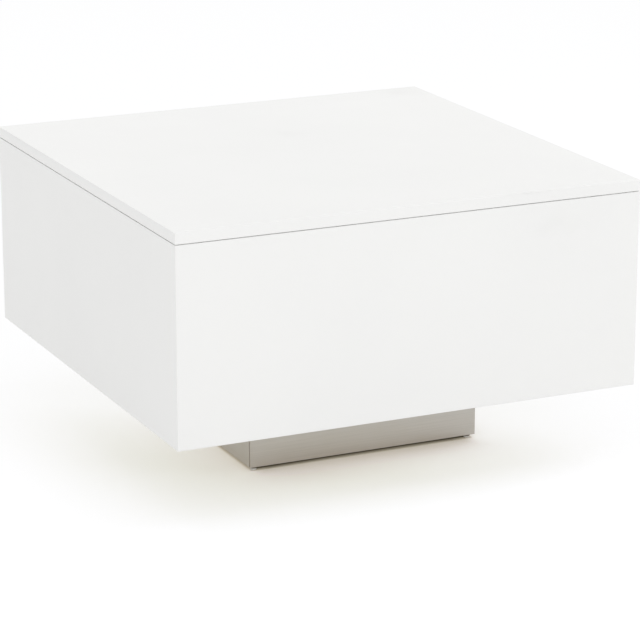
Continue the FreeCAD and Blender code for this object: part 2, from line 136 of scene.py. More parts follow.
def spot(tree, stretch=(1.0, 1.0, 1.0)):
    """The point being shaded, in metres, squeezed or stretched along each axis."""
    here = add_node(tree, "TexCoord").outputs["Object"]
    return add_node(tree, "VectorMath", {"operation": "MULTIPLY"}, {0: here, 1: stretch}).outputs[0]


def cloud(tree, where, per_metre, detail, roughness=0.5):
    """A soft random pattern between 0 and 1."""
    settings = {"Vector": where, "Scale": per_metre, "Detail": detail, "Roughness": roughness}
    return add_node(tree, "TexNoise", inputs=settings).outputs["Fac"]


def tones(tree, value, stops):
    """A colour for each value, blended between (position, colour) stops."""
    ramp = add_node(tree, "ValToRGB", inputs={"Fac": value})
    elements = ramp.color_ramp.elements
    while len(elements) < len(stops):
        elements.new(1.0)
    for element, (position, colour) in zip(elements, stops):
        element.position = position
        element.color = (*colour, 1.0)
    return ramp.outputs["Color"]


def fibre_tone(tree):
    """The pattern of pressed wood fibre, and its colour."""
    felt = cloud(tree, spot(tree, FIBRE_LIE), FIBRES_PER_METRE, detail=6.0, roughness=0.7)
    stops = [(0.27, FIBRE_DARK), (0.40, FIBRE_BROWN), (0.62, FIBRE_PALE)]
    return felt, tones(tree, felt, stops)


print("fibres about", round(1000 / FIBRES_PER_METRE, 2), "millimetres across")

# %% The plinth boards
FIBRE_ROUGHNESS = (0.70, 0.90)
NAP_DEPTH = 0.00005


def between(tree, value, low, high):
    """A pattern of 0 to 1, moved to lie between two limits."""
    settings = {"Value": value, "To Min": low, "To Max": high}
    return add_node(tree, "MapRange", inputs=settings).outputs["Result"]


def relief(tree, height, depth, strength=1.0):
    """Bumps of a real depth in metres, as a normal for the shader."""
    settings = {"Height": height, "Distance": depth, "Strength": strength}
    return add_node(tree, "Bump", inputs=settings).outputs["Normal"]


def finish_pieces(material, names):
    """Put one finish on several pieces."""
    for name in names:
        pieces[name].data.materials.clear()
        pieces[name].data.materials.append(material)
    print(material.name, "on", len(names), "pieces")


def raw_fibreboard():
    material, tree, shader = start_finish("raw_fibreboard")
    felt, brown = fibre_tone(tree)
    set_inputs(tree, shader, {
        "Base Color": brown,
        "Roughness": between(tree, felt, *FIBRE_ROUGHNESS),
        "Normal": relief(tree, felt, NAP_DEPTH),
    })
    return material


finish_pieces(raw_fibreboard(), [name for name in pieces if name.endswith("_board")])

# %% [markdown]
# ## Satin white lacquer
# The top and the four sides are fibreboard sprayed with white lacquer. It looks plain, but a plain
# white shader reads as plastic. A sprayed film has orange peel, a ripple a few millimetres wide and
# a few hundredths of a millimetre deep. Its gloss drifts a little, and hands rub the outer edges
# greyer. The ripple could be modelled, but it is far too fine, so it is a bump. Only the outside is
# sprayed: the inner faces have a thin primer, and the bores and mitres show the bare board. All of
# that follows from how deep a point lies inside the box, and the depth can be worked out from the
# box's own size.

# %% How deep a point lies inside a box
def maths(tree, operation, first, second=0.0):
    """One sum on two values."""
    return add_node(tree, "Math", {"operation": operation}, {0: first, 1: second}).outputs[0]


def gaps_to_faces(tree, low, high):
    """Distances in metres from the point being shaded to the outer faces along X, Y and Z."""
    centre = (low + high) / 2
    half = (high - low) / 2
    minus = {"operation": "SUBTRACT"}
    offset = add_node(tree, "VectorMath", minus, {0: spot(tree), 1: centre}).outputs[0]
    reach = add_node(tree, "VectorMath", {"operation": "ABSOLUTE"}, {0: offset}).outputs[0]
    gaps = add_node(tree, "VectorMath", minus, {0: half, 1: reach}).outputs[0]
    return add_node(tree, "SeparateXYZ", inputs={0: gaps}).outputs


def depth_and_edge(tree, low, high):
    """Distance in metres to the nearest outer face, and to the nearest outer edge.

    On a face one gap is zero and at an edge two are. So the least gap is the depth under the
    surface, and the middle one of the three is the distance to the edge.
    """
    x, y, z = gaps_to_faces(tree, low, high)
    lesser = maths(tree, "MINIMUM", x, y)
    greater = maths(tree, "MAXIMUM", x, y)
    edge = maths(tree, "MAXIMUM", lesser, maths(tree, "MINIMUM", greater, z))
    return maths(tree, "MINIMUM", lesser, z), edge


box_low = Vector((solid_low.x, solid_low.y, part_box("front_panel")[0].z))
box_high = solid_high.copy()
board_thickness = box_high.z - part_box("top_panel")[0].z
print("lacquered box from", [round(v, 3) for v in box_low], "to", [round(v, 3) for v in box_high])
print("board thickness in metres", round(board_thickness, 4))

# %% White that is rubbed along the edges
LACQUER_WHITE = (0.88, 0.88, 0.868)
LACQUER_CLOUD = (0.868, 0.868, 0.857)
LACQUER_RUBBED = (0.80, 0.80, 0.785)
DRIFTS_PER_METRE = 4.0
RUB_PATCHES_PER_METRE = 60.0
EDGE_RUB = 0.15
EDGE_RUB_WIDTH = 0.004


def fading(tree, value, start, width):
    """A share that falls from its start, where the value is 0, to nothing at a width."""
    settings = {"Value": value, "From Max": width, "To Min": start, "To Max": 0.0}
    return add_node(tree, "MapRange", inputs=settings).outputs["Result"]


def sprayed_tone(tree, from_edge):
    """White that drifts a little and is rubbed greyer along the outer edges."""
    drift = cloud(tree, spot(tree), DRIFTS_PER_METRE, detail=3.0)
    patchy = cloud(tree, spot(tree), RUB_PATCHES_PER_METRE, detail=3.0)
    uneven = between(tree, patchy, -EDGE_RUB_WIDTH, EDGE_RUB_WIDTH)
    rub = fading(tree, maths(tree, "ADD", from_edge, uneven), EDGE_RUB, EDGE_RUB_WIDTH)
    stops = [(0.1, LACQUER_RUBBED), (0.35, LACQUER_CLOUD), (0.65, LACQUER_WHITE)]
    return tones(tree, maths(tree, "SUBTRACT", drift, rub), stops)


print("edges rubbed over", 1000 * EDGE_RUB_WIDTH, "millimetres")

# %% Primer and bare board inside
PRIMER_WHITE = (0.80, 0.795, 0.78)
PRIMER_THIN = (0.66, 0.63, 0.58)
BLEND_DEPTH = 0.001
primer_depth = board_thickness - BLEND_DEPTH


def reached(tree, value, limit, width):
    """0 below a limit and 1 above it, with a short blend between."""
    settings = {"Value": value, "From Min": limit, "From Max": limit + width}
    return add_node(tree, "MapRange", inputs=settings).outputs["Result"]


def mixed(tree, share, first, second):
    """One colour pattern over another."""
    settings = {"Fac": share, "Color1": first, "Color2": second}
    return add_node(tree, "MixRGB", inputs=settings).outputs["Color"]


def inside_tone(tree, depth):
    """Bare board in the bores and mitres, and primer on the inner faces."""
    felt, brown = fibre_tone(tree)
    primer = tones(tree, felt, [(0.30, PRIMER_THIN), (0.50, PRIMER_WHITE)])
    return mixed(tree, reached(tree, depth, primer_depth, BLEND_DEPTH / 2), brown, primer)


print("primer from a depth of", round(1000 * primer_depth, 1), "millimetres")

# %% The lacquered boards
SPRAYED_DEPTH = 0.006
GLOSS_PATCHES_PER_METRE = 30.0
LACQUER_ROUGHNESS = (0.36, 0.46)
BARE_ROUGHER = 0.25
PEEL_PER_METRE = 420
PEEL_DEPTH = 0.00006


def satin_white_lacquer():
    material, tree, shader = start_finish("satin_white_lacquer")
    depth, from_edge = depth_and_edge(tree, box_low, box_high)
    bare = reached(tree, depth, SPRAYED_DEPTH, BLEND_DEPTH)
    gloss = cloud(tree, spot(tree), GLOSS_PATCHES_PER_METRE, detail=4.0)
    film = between(tree, gloss, *LACQUER_ROUGHNESS)
    peel = cloud(tree, spot(tree), PEEL_PER_METRE, detail=1.5)
    set_inputs(tree, shader, {
        "Base Color": mixed(tree, bare, sprayed_tone(tree, from_edge), inside_tone(tree, depth)),
        "Roughness": maths(tree, "ADD", film, between(tree, bare, 0.0, BARE_ROUGHER)),
        "Normal": relief(tree, peel, PEEL_DEPTH),
    })
    return material


finish_pieces(
    satin_white_lacquer(),
    ["top_panel", "front_panel", "right_panel", "back_panel", "left_panel"],
)

# %% [markdown]
# ## Brushed metal facing
# The plinth is wrapped in thin sheet, brushed level by a belt. The belt leaves strokes that are a
# fraction of a millimetre apart and many centimetres long. They spread reflections up and down and
# keep them sharp sideways, so the sheet shows a soft upright gradient of what stands in front of
# it. Scratches modelled one by one would be thousands. Here they are a noise pattern squeezed along
# X and Y, so that they run level on all four sides, and the shader's own anisotropy spreads the
# reflections.

# %% The brushed sheet
SHEET_STEEL = (0.525, 0.50, 0.465)
SHEET_STROKE = (0.46, 0.44, 0.41)
SHEET_ROUGHNESS = (0.28, 0.40)
STROKES_PER_METRE = 900
STROKE_LIE = (0.006, 0.006, 1.0)
STROKE_DEPTH = 0.00001
STROKE_STRENGTH = 0.5
STROKE_SPREAD = 0.6
SMEARS_PER_METRE = 30.0
SMEAR_LIE = (0.25, 0.25, 1.0)
SMEAR_ROUGHNESS = 0.03


def brushed_sheet():
    material, tree, shader = start_finish("brushed_sheet")
    strokes = cloud(tree, spot(tree, STROKE_LIE), STROKES_PER_METRE, detail=5.0, roughness=0.7)
    smears = cloud(tree, spot(tree, SMEAR_LIE), SMEARS_PER_METRE, detail=3.0)
    brushed = between(tree, strokes, *SHEET_ROUGHNESS)
    smeared = between(tree, smears, -SMEAR_ROUGHNESS, SMEAR_ROUGHNESS)
    level = add_node(tree, "Tangent", {"direction_type": "RADIAL", "axis": "Z"})
    set_inputs(tree, shader, {
        "Base Color": tones(tree, strokes, [(0.3, SHEET_STROKE), (0.6, SHEET_STEEL)]),
        "Roughness": maths(tree, "ADD", brushed, smeared),
        "Normal": relief(tree, strokes, STROKE_DEPTH, STROKE_STRENGTH),
        "Tangent": level.outputs["Tangent"],
        "Metallic": 1.0,
        "Anisotropic": STROKE_SPREAD,
    })
    return material


finish_pieces(brushed_sheet(), [name for name in pieces if name.endswith("_sheet")])

# %% [markdown]
# ## Melamine bottom panel
# The panel under the box is chipboard with white melamine paper pressed on both faces. The press
# plate leaves a fine pearl texture. The sawn edges have no paper and show the chips. They could
# have a second material, but then their faces would have to be picked by hand. Instead the pattern
# works out how far a point is from the sawn edges, which is the lesser gap along X and Y.

# %% The bottom panel
MELAMINE_WHITE = (0.83, 0.83, 0.815)
MELAMINE_SHADE = (0.795, 0.795, 0.78)
MELAMINE_ROUGHNESS = (0.42, 0.58)
CHIP_PALE = (0.62, 0.46, 0.29)
CHIP_BROWN = (0.36, 0.23, 0.125)
CHIPS_PER_METRE = 380
CHIP_LIE = (0.5, 0.5, 1.0)
PEARL_PER_METRE = 1500
PEARL_DEPTH = 0.00003
SAWN_WIDTH = 0.0004


def pearl_melamine():
    material, tree, shader = start_finish("pearl_melamine")
    gaps = gaps_to_faces(tree, *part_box("bottom_panel"))
    paper = reached(tree, maths(tree, "MINIMUM", gaps["X"], gaps["Y"]), SAWN_WIDTH, SAWN_WIDTH)
    chip_settings = {"Vector": spot(tree, CHIP_LIE), "Scale": CHIPS_PER_METRE}
    chips = add_node(tree, "TexVoronoi", inputs=chip_settings).outputs["Color"]
    sawn = tones(tree, chips, [(0.2, CHIP_BROWN), (0.8, CHIP_PALE)])
    pearl = cloud(tree, spot(tree), PEARL_PER_METRE, detail=2.0)
    white = tones(tree, pearl, [(0.35, MELAMINE_SHADE), (0.55, MELAMINE_WHITE)])
    set_inputs(tree, shader, {
        "Base Color": mixed(tree, paper, sawn, white),
        "Roughness": between(tree, pearl, *MELAMINE_ROUGHNESS),
        "Normal": relief(tree, pearl, PEARL_DEPTH),
    })
    return material


finish_pieces(pearl_melamine(), ["bottom_panel"])

# %% [markdown]
# ## Planed pine
# The corner posts, the cleats and the blocks in the plinth are pine. Pine has growth rings: a wide
# pale band, then a narrow dark one with a sharp outer edge. A ring is a constant distance from the
# heart of the tree. The Wave texture can draw rings, but here the distance from a far-off line is
# cut into equal steps, which lets the rings wander by a set number of millimetres. Posts and blocks
# stand upright and the cleats lie along X or Y, so one function makes the timber for each direction
# of the grain.

# %% Growth rings
RINGS_PER_METRE = 330
RING_WANDER = 0.006
RING_STRETCH = 0.05
WANDERS_PER_METRE = 40.0
ALONG_X, ALONG_Y, UPRIGHT = range(3)


def along_grain(axis, stretch):
    """A stretch along the grain, and none across it."""
    return [stretch if index == axis else 1.0 for index in range(3)]


def through_ring(tree, axis):
    """How far a point is through its growth ring, from 0 to 1."""
    across = spot(tree, along_grain(axis, 0.0))
    from_heart = add_node(tree, "VectorMath", {"operation": "LENGTH"}, {0: across}).outputs["Value"]
    wander = cloud(tree, spot(tree, along_grain(axis, RING_STRETCH)), WANDERS_PER_METRE, detail=2.0)
    uneven = maths(tree, "ADD", from_heart, between(tree, wander, -RING_WANDER, RING_WANDER))
    return maths(tree, "FRACT", maths(tree, "MULTIPLY", uneven, RINGS_PER_METRE))


print("rings about", round(1000 / RINGS_PER_METRE, 1), "millimetres wide")

# %% The timber
PINE_PALE = (0.74, 0.52, 0.29)
PINE_WARM = (0.66, 0.43, 0.21)
PINE_RING = (0.45, 0.24, 0.095)
PINE_ROUGHNESS = (0.50, 0.68)
GRAIN_PER_METRE = 1400.0
GRAIN_STRETCH = 0.0125
GRAIN_CONTRAST = 0.18
GRAIN_DEPTH = 0.00006


def planed_pine(name, axis):
    material, tree, shader = start_finish(name)
    fibres = cloud(tree, spot(tree, along_grain(axis, GRAIN_STRETCH)), GRAIN_PER_METRE, detail=3.0)
    streaks = between(tree, fibres, -GRAIN_CONTRAST, GRAIN_CONTRAST)
    tone = maths(tree, "ADD", through_ring(tree, axis), streaks)
    stops = [(0.0, PINE_PALE), (0.55, PINE_WARM), (0.88, PINE_RING), (1.0, PINE_PALE)]
    set_inputs(tree, shader, {
        "Base Color": tones(tree, tone, stops),
        "Roughness": between(tree, fibres, *PINE_ROUGHNESS),
        "Normal": relief(tree, fibres, GRAIN_DEPTH),
    })
    return material


upright = [name for name in pieces if "_block_" in name and not name.endswith("_screws")]
finish_pieces(planed_pine("pine_upright", UPRIGHT), upright)
finish_pieces(planed_pine("pine_along_x", ALONG_X), ["cleat_front", "cleat_back"])
finish_pieces(planed_pine("pine_along_y", ALONG_Y), ["cleat_left", "cleat_right"])

# %% [markdown]
# ## Felt-soled glides
# Under each corner of the plinth a small plastic cup is nailed on, with a felt sole pressed into
# it. The cup is injection moulded and has a faint even grain from the mould, so a fine bump is
# enough. Felt is a mat of short fibres. Real hairs would be far too many for a sole ten millimetres
# wide, so two noise patterns, squeezed across each other, draw the fibres. A little sheen gives the
# soft outline, and the sole is greyer where it rubs the floor.

# %% The plastic cups
CUP_BROWN = (0.15, 0.125, 0.10)
CUP_DARK = (0.10, 0.085, 0.07)
CUP_ROUGHNESS = (0.42, 0.60)
CUP_FLOWS_PER_METRE = 400.0
CUP_GRAIN_PER_METRE = 2600
CUP_GRAIN_DEPTH = 0.00003


def moulded_cup():
    material, tree, shader = start_finish("moulded_cup")
    flow = cloud(tree, spot(tree), CUP_FLOWS_PER_METRE, detail=3.0)
    grain = cloud(tree, spot(tree), CUP_GRAIN_PER_METRE, detail=1.0)
    set_inputs(tree, shader, {
        "Base Color": tones(tree, flow, [(0.35, CUP_DARK), (0.65, CUP_BROWN)]),
        "Roughness": between(tree, grain, *CUP_ROUGHNESS),
        "Normal": relief(tree, grain, CUP_GRAIN_DEPTH),
    })
    return material


cup_names = [name for name in pieces if name.startswith("glide_") and name != "glide_nails"]
finish_pieces(moulded_cup(), cup_names)

# %% The felt soles
FELT_PALE = (0.74, 0.72, 0.67)
FELT_SHADE = (0.58, 0.56, 0.515)
FELT_WORN = (0.45, 0.43, 0.395)
FELT_ROUGHNESS = (0.95, 0.75)
FELT_SHEEN = 0.3
FELT_FIBRES_PER_METRE = 2200
FELT_LIES = ((1.0, 0.2, 0.6), (0.2, 1.0, 0.6))
FELT_DEPTH = 0.0002
FELT_WORN_HEIGHT = 0.0008


def pressed_felt():
    material, tree, shader = start_finish("pressed_felt")
    one_way, other_way = [
        cloud(tree, spot(tree, lie), FELT_FIBRES_PER_METRE, detail=4.0) for lie in FELT_LIES
    ]
    fibres = maths(tree, "MAXIMUM", one_way, other_way)
    height = add_node(tree, "SeparateXYZ", inputs={0: spot(tree)}).outputs["Z"]
    clean = reached(tree, height, 0.0, FELT_WORN_HEIGHT)
    fresh = tones(tree, fibres, [(0.40, FELT_SHADE), (0.65, FELT_PALE)])
    worn = tones(tree, fibres, [(0.40, FELT_WORN), (0.65, FELT_SHADE)])
    set_inputs(tree, shader, {
        "Base Color": mixed(tree, clean, worn, fresh),
        "Roughness": between(tree, fibres, *FELT_ROUGHNESS),
        "Normal": relief(tree, fibres, FELT_DEPTH),
        "Sheen Weight": FELT_SHEEN,
    })
    return material


finish_pieces(pressed_felt(), [name for name in pieces if name.startswith("felt_")])

# %% [markdown]
# ## Cast and plated metal
# The fittings inside are three metals. The cam discs are die-cast zinc, dull and mottled where the
# metal chilled. The cam bolts and nails are bright zinc plate. The wood screws are yellow
# passivated, a plate that drifts from brass to pink. Each could have a network of its own, but all
# three are metals with a mottled colour and a grainy surface, so one function takes the colours,
# the roughness and the scale of the mottling.

# %% A mottled metal
METAL_GRAIN_PER_METRE = 3000
MOTTLE_FROM = 0.3
MOTTLE_RANGE = 0.4


def fitting_metal(name, colours, roughness, mottles_per_metre, grain_depth):
    """A metal whose colour drifts through a list of colours."""
    material, tree, shader = start_finish(name)
    mottle = cloud(tree, spot(tree), mottles_per_metre, detail=4.0)
    grain = cloud(tree, spot(tree), METAL_GRAIN_PER_METRE, detail=3.0)
    last = len(colours) - 1
    stops = [(MOTTLE_FROM + MOTTLE_RANGE * step / last, tone) for step, tone in enumerate(colours)]
    set_inputs(tree, shader, {
        "Base Color": tones(tree, mottle, stops),
        "Roughness": between(tree, grain, *roughness),
        "Normal": relief(tree, grain, grain_depth),
        "Metallic": 1.0,
    })
    return material


print("metal grain about", round(1000 / METAL_GRAIN_PER_METRE, 2), "millimetres across")

# %% The cam discs, bolts, nails and screws
CAST_ZINC = {
    "colours": [(0.46, 0.46, 0.45), (0.56, 0.56, 0.55), (0.62, 0.62, 0.61)],
    "roughness": (0.40, 0.58),
    "mottles_per_metre": 500,
    "grain_depth": 0.00005,
}
BRIGHT_PLATE = {
    "colours": [(0.60, 0.61, 0.62), (0.70, 0.70, 0.70)],
    "roughness": (0.18, 0.32),
    "mottles_per_metre": 300,
    "grain_depth": 0.00001,
}
YELLOW_PLATE = {
    "colours": [(0.62, 0.40, 0.26), (0.70, 0.52, 0.22), (0.66, 0.56, 0.30)],
    "roughness": (0.22, 0.36),
    "mottles_per_metre": 220,
    "grain_depth": 0.00001,
}

cast_zinc = fitting_metal("cast_zinc", **CAST_ZINC)
bright_plate = fitting_metal("bright_plate", **BRIGHT_PLATE)
yellow_plate = fitting_metal("yellow_plate", **YELLOW_PLATE)
finish_pieces(cast_zinc, [joint["child"] for joint in frame["joints"]])
finish_pieces(bright_plate, ["top_cam_bolts", "plinth_cam_bolts", "glide_nails"])
finish_pieces(yellow_plate, [name for name in pieces if name.endswith("_screws")])

# %% [markdown]
# ## Where each screw, bolt and dowel is
# Fasteners of one kind are one piece with many separate solids. To add a thread to each, its place
# and direction are needed. They could be typed in, but numbers read from the mesh stay right when
# the solids change. Welding the points that lie together makes each solid one connected island. The
# long side of the island is its axis, and its widest point lies near a known end: the head of a
# screw, or the threaded end of a bolt, where its collar is.

# %% Find the separate solids in a piece
WELD = 0.000001


def separate_solids(name):
    """The solids in one piece, each as a list of its points."""
    welded = bmesh.new()
    welded.from_mesh(pieces[name].data)
    bmesh.ops.remove_doubles(welded, verts=welded.verts, dist=WELD)
    found = set()
    solids = []
    for first in welded.verts:
        if first in found:
            continue
        found.add(first)
        island = [first]
        for point in island:
            near = [edge.other_vert(point) for edge in point.link_edges]
            fresh = [other for other in near if other not in found]
            found.update(fresh)
            island.extend(fresh)
        solids.append([point.co.copy() for point in island])
    welded.free()
    return solids


for name in ("corner_block_screws", "top_cam_bolts", "top_dowels"):
    print(name, len(separate_solids(name)), "solids")

# %% Find how a fastener stands
def corners_of(points):
    """The lowest and highest corners of a list of points."""
    low = Vector([min(point[axis] for point in points) for axis in range(3)])
    high = Vector([max(point[axis] for point in points) for axis in range(3)])
    return low, high


def set_from_wide_end(points):
    """The place of a slim turned part, from the end nearest its widest point, and its length."""
    low, high = corners_of(points)
    size = high - low
    axis = max(range(3), key=lambda index: size[index])
    middle = (low + high) / 2
    beside = Vector([0.0 if index == axis else 1.0 for index in range(3)])
    widest = max(points, key=lambda point: ((point - middle) * beside).length)
    starts_low = widest[axis] < middle[axis]
    start = middle.copy()
    start[axis] = low[axis] if starts_low else high[axis]
    way = 1.0 if starts_low else -1.0
    direction = Vector([way if index == axis else 0.0 for index in range(3)])
    turn = direction.to_track_quat("Z", "Y").to_matrix().to_4x4()
    return Matrix.Translation(start) @ turn, size[axis]


for name in ("corner_block_screws", "top_cam_bolts"):
    length = set_from_wide_end(separate_solids(name)[0])[1]
    print(name, "the first is", round(1000 * length, 1), "millimetres long")

# %% [markdown]
# ## Threads on the screws and bolts
# A thread is a ridge that climbs round the shank. It could be a bump, but a bump has no outline,
# and a Screw modifier makes one thread at a time in its own object. Here a small triangle is
# carried round and along each shank by a formula, sinking into the metal at both ends so that it
# runs out as a rolled thread does. All the threads of one kind are one piece, which rides on the
# table beside its screws.

# %% A ridge that climbs round a shank
STEPS_PER_TURN = 20
RIDGE_ROOT = 0.0001
HALF_RIDGES_PER_PITCH = 5


def skin(mesh, rings):
    """Join rings of points with faces, and close both ends."""
    for ring, following in zip(rings, rings[1:]):
        for step in range(len(ring)):
            after = (step + 1) % len(ring)
            mesh.faces.new((ring[step], ring[after], following[after], following[step]))
    mesh.faces.new(rings[0][::-1])
    mesh.faces.new(rings[-1])


def thread_ridge(mesh, place, start, end, pitch, height, shank):
    """Add one thread to a mesh. The shank's radius is a function of the distance to its end."""
    steps = round((end - start) / pitch * STEPS_PER_TURN)
    half = pitch / HALF_RIDGES_PER_PITCH
    rings = []
    for step in range(steps + 1):
        along = start + (end - start) * step / steps
        angle = 2 * math.pi * step / STEPS_PER_TURN
        rise = height * min(1.0, step / STEPS_PER_TURN, (steps - step) / STEPS_PER_TURN)
        foot = shank(end - along) - RIDGE_ROOT
        outline = [(foot, along - half), (foot + RIDGE_ROOT + rise, along), (foot, along + half)]
        places = [(r * math.cos(angle), r * math.sin(angle), z) for r, z in outline]
        rings.append([mesh.verts.new(place @ Vector(point)) for point in places])
    skin(mesh, rings)


print("a turn of a thread has", STEPS_PER_TURN, "steps")

# %% Turn a mesh into a piece of the table
def put_in_scene(name, data):
    """Make an object of a mesh, a lamp or a camera, and put it in the scene."""
    made = bpy.data.objects.new(name, data)
    bpy.context.scene.collection.objects.link(made)
    return made


def add_piece(name, mesh, material):
    """Turn a mesh under construction into a piece that rides on the table."""
    bmesh.ops.recalc_face_normals(mesh, faces=mesh.faces)
    data = bpy.data.meshes.new(name)
    mesh.to_mesh(data)
    mesh.free()
    data.materials.append(material)
    piece = put_in_scene(name, data)
    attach(piece, "table")
    print(name, len(data.vertices), "points")
    return piece


# %% Threads on the wood screws
SCREW_RADIUS = 0.002
SCREW_TIP = 0.004
SCREW_TIP_RADIUS = 0.0004
SCREW_PITCH = 0.0018
SCREW_RIDGE = 0.0005
SCREW_PLAIN_SHARE = 0.35


def screw_shank(from_tip):
    """The radius of a wood screw, which narrows to its tip."""
    taper = (SCREW_RADIUS - SCREW_TIP_RADIUS) / SCREW_TIP
    return min(SCREW_RADIUS, SCREW_TIP_RADIUS + from_tip * taper)


for name in ("corner_block_screws", "cleat_screws", "bottom_panel_screws", "plinth_block_screws"):
    threads = bmesh.new()
    for points in separate_solids(name):
        place, length = set_from_wide_end(points)
        plain = SCREW_PLAIN_SHARE * length
        thread_ridge(threads, place, plain, length, SCREW_PITCH, SCREW_RIDGE, screw_shank)
    add_piece(name.replace("_screws", "_screw_threads"), threads, yellow_plate)

# %% Threads on the cam bolts
BOLT_RADIUS = 0.0025
BOLT_THREAD_LENGTH = 0.011
BOLT_PITCH = 0.0025
BOLT_RIDGE = 0.0007


def bolt_shank(from_end):
    """The radius of a bolt's threaded end, the same all along."""
    return BOLT_RADIUS


for name in ("top_cam_bolts", "plinth_cam_bolts"):
    threads = bmesh.new()
    for points in separate_solids(name):
        place = set_from_wide_end(points)[0]
        thread_ridge(threads, place, 0.0, BOLT_THREAD_LENGTH, BOLT_PITCH, BOLT_RIDGE, bolt_shank)
    add_piece(name.replace("_bolts", "_bolt_threads"), threads, bright_plate)

# %% [markdown]
# ## Fluted beech dowels
# Dowels are rolled with flutes along them, which let the glue out of the hole. The solids that come
# in are plain pins. Grooves could be cut into those, but it is simpler to build a new dowel in the
# place of each: rings of points whose radius dips round the dowel, with narrower rings at both ends
# for the chamfers. Beech is pinkish brown, with short dark flecks along the grain.

# %% The beech
BEECH_PALE = (0.62, 0.42, 0.26)
BEECH_PINK = (0.54, 0.34, 0.20)
BEECH_FLECK = (0.33, 0.18, 0.095)
BEECH_ROUGHNESS = (0.70, 0.52)
FLECKS_PER_METRE = 1600.0
FLECK_LIE = (1.0, 1.0, 0.12)
FLECK_DEPTH = 0.00004


def steamed_beech():
    material, tree, shader = start_finish("steamed_beech")
    flecks = cloud(tree, spot(tree, FLECK_LIE), FLECKS_PER_METRE, detail=3.0)
    stops = [(0.30, BEECH_FLECK), (0.40, BEECH_PINK), (0.65, BEECH_PALE)]
    set_inputs(tree, shader, {
        "Base Color": tones(tree, flecks, stops),
        "Roughness": between(tree, flecks, *BEECH_ROUGHNESS),
        "Normal": relief(tree, flecks, FLECK_DEPTH),
    })
    return material


beech = steamed_beech()
finish_pieces(beech, ["top_dowels", "plinth_dowels"])

# %% The fluted dowels
FLUTES = 20
POINTS_PER_FLUTE = 6
FLUTE_DEPTH = 0.0003
DOWEL_CHAMFER = 0.001


def fluted_dowel(mesh, low, high):
    """Add one upright dowel that fills the space between two corners."""
    middle = (low + high) / 2
    radius = (high.x - low.x) / 2
    count = FLUTES * POINTS_PER_FLUTE
    levels = [
        (low.z, radius - DOWEL_CHAMFER),
        (low.z + DOWEL_CHAMFER, radius),
        (high.z - DOWEL_CHAMFER, radius),
        (high.z, radius - DOWEL_CHAMFER),
    ]
    rings = []
    for height, reach in levels:
        ring = []
        for step in range(count):
            angle = 2 * math.pi * step / count
            dip = FLUTE_DEPTH * (1 - math.cos(FLUTES * angle)) / 2
            across = Vector((math.cos(angle), math.sin(angle), 0.0)) * (reach - dip)
            ring.append(mesh.verts.new(Vector((middle.x, middle.y, height)) + across))
        rings.append(ring)
    skin(mesh, rings)


for name in ("top_dowels", "plinth_dowels"):
    dowels = bmesh.new()
    for points in separate_solids(name):
        fluted_dowel(dowels, *corners_of(points))
    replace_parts(add_piece("fluted_" + name, dowels, beech), name)

# %% [markdown]
# ## The floor
# The table stands on a pale seamless floor that runs out to white. A floor that is only lit would
# have to be overlit to look white, and that would wash out the table. So the floor looks up what
# kind of ray has found it. The camera and mirror-like rays see a mix of glowing white and lit
# floor, which is white in the open and soft in the shade. Light that bounces on to the table sees
# an ordinary pale floor. From below the floor is clear, so that the underside can be seen.
#
# A contact shadow is what tells the eye that the plinth stands on the floor. Ambient occlusion
# finds what is close above a point of the floor, and the plinth's own outline darkens the hollow
# behind its boards. Beside the plinth low light slips in under the box and thins the shade. It
# reaches a little way round the corners, so the shade is deepest along the middle of the front and
# the back.

# %% How open the floor is
CONTACT_REACH = 0.11
CONTACT_SAMPLES = 16
SIDE_LIGHT = 0.55
SIDE_LIGHT_DEPTH = 0.012
SIDE_BLEND = 0.04
CORNER_WRAP = 0.03
COVERED_FROM = 0.002
COVERED_TO = 0.015
plinth_low = Vector((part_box("plinth_left_sheet")[0].x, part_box("plinth_front_sheet")[0].y, 0.0))


def side_light(tree, gaps, depth_under):
    """How much low light slips in beside the plinth, and a little way round its corners."""
    past_corner = maths(tree, "SUBTRACT", gaps["Y"], gaps["X"])
    beside = reached(tree, past_corner, -CORNER_WRAP, SIDE_BLEND)
    let_in = reached(tree, depth_under, SIDE_LIGHT_DEPTH, -SIDE_LIGHT_DEPTH)
    return maths(tree, "MULTIPLY", beside, between(tree, let_in, 0.0, SIDE_LIGHT))


def openness(tree):
    """How open the floor is to the room: 0 under the plinth, 1 away from it."""
    gaps = gaps_to_faces(tree, plinth_low, -plinth_low)
    depth_under = maths(tree, "MINIMUM", gaps["X"], gaps["Y"])
    uncovered = reached(tree, depth_under, COVERED_TO, COVERED_FROM - COVERED_TO)
    samples = {"samples": CONTACT_SAMPLES}
    near = add_node(tree, "AmbientOcclusion", samples, {"Distance": CONTACT_REACH})
    above = maths(tree, "MULTIPLY", near.outputs["AO"], uncovered)
    closed = maths(tree, "SUBTRACT", 1.0, above)
    slipped_in = maths(tree, "MULTIPLY", closed, side_light(tree, gaps, depth_under))
    return maths(tree, "ADD", above, slipped_in)


print("plinth outline in metres", [round(-2 * v, 3) for v in plinth_low[:2]])

# %% [markdown]
# The shade itself is a colour for each degree of openness, from a dark brown in the gap under the
# metal to the plain floor. The lit share is what the glow lacks of the backdrop's white under the
# room's own light, so the floor meets the backdrop without a horizon. The strongest lamp is on the
# right, so the shade falls to the front left, and on the lamp's side it is washed out towards
# white.

# %% The shaded floor
FLOOR_GLOW = Vector((0.476, 0.455, 0.308))
CONTACT_SHADE = (0.38, 0.325, 0.20)
GAP_EDGE = (0.21, 0.185, 0.14)
GAP_SHADE = (0.02, 0.018, 0.012)
GAP_LIT = (0.06, 0.05, 0.03)
BACKDROP_WHITE = 0.98
ROOM_GLOW = 0.83
floor_lit = (Vector.Fill(3, BACKDROP_WHITE) - FLOOR_GLOW) / ROOM_GLOW


